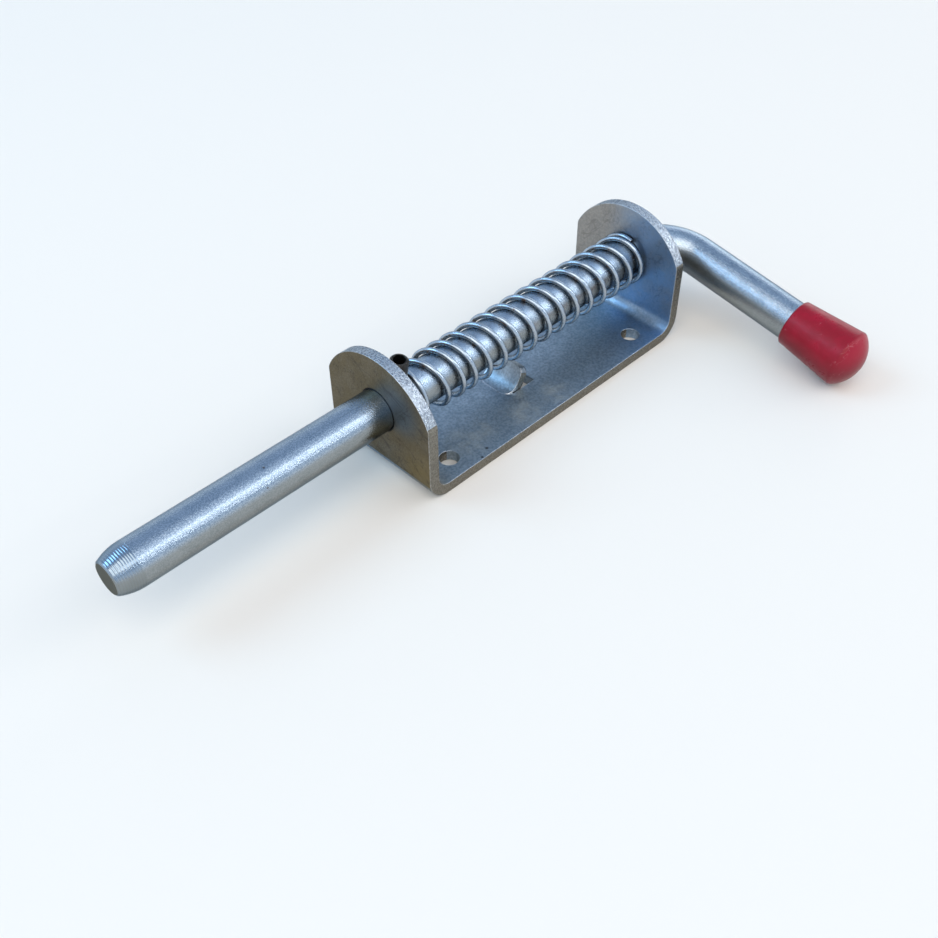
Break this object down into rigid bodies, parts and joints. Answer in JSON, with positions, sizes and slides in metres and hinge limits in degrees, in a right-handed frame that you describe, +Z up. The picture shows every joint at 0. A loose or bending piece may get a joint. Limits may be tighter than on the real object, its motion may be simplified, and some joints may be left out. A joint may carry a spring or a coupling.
{
  "type": "spring loaded bolt",
  "caption": "Spring loaded gate bolt: a round bar with a bent, capped handle slides and turns in a folded bracket, pushed out by a coil spring and held back by a pressed-up catch.",
  "frame": {"origin": "centre of the screw hole pattern, on the base plate's underside", "axes": "+X along the bolt from its nose to its handle, +Y across the base plate away from the handle, +Z up out of the base plate"},
  "size_m": [0.2049, 0.0908, 0.0367],
  "materials": {
    "plated_sheet": "bright zinc plate over rolled sheet, faintly stained",
    "plated_bar": "bright zinc plate over drawn bar",
    "black_steel": "black oxide",
    "spring_wire": "zinc plated wire with small brown spots",
    "red_sleeve": "satin soft vinyl with light scuffs"
  },
  "bodies": {
    "bracket": {"bracket": "plated_sheet"},
    "spring": {"spring": "spring_wire"},
    "bolt": {"bolt_rod": "plated_bar", "roll_pin": "black_steel", "handle_cap": "red_sleeve"}
  },
  "joints": [
    {"name": "bolt_slide", "type": "slide", "parent": "bracket", "child": "spring", "axis": [1, 0, 0], "range_m": [0, 0.06], "stiffness_N_per_m": 1000, "springref_m": -0.01, "deforming": ["spring"]},
    {"name": "bolt_turn", "type": "hinge", "parent": "spring", "child": "bolt", "pos_m": [0, 0, 0.0208], "axis": [-1, 0, 0], "range_deg": [0, 200]}
  ]
}
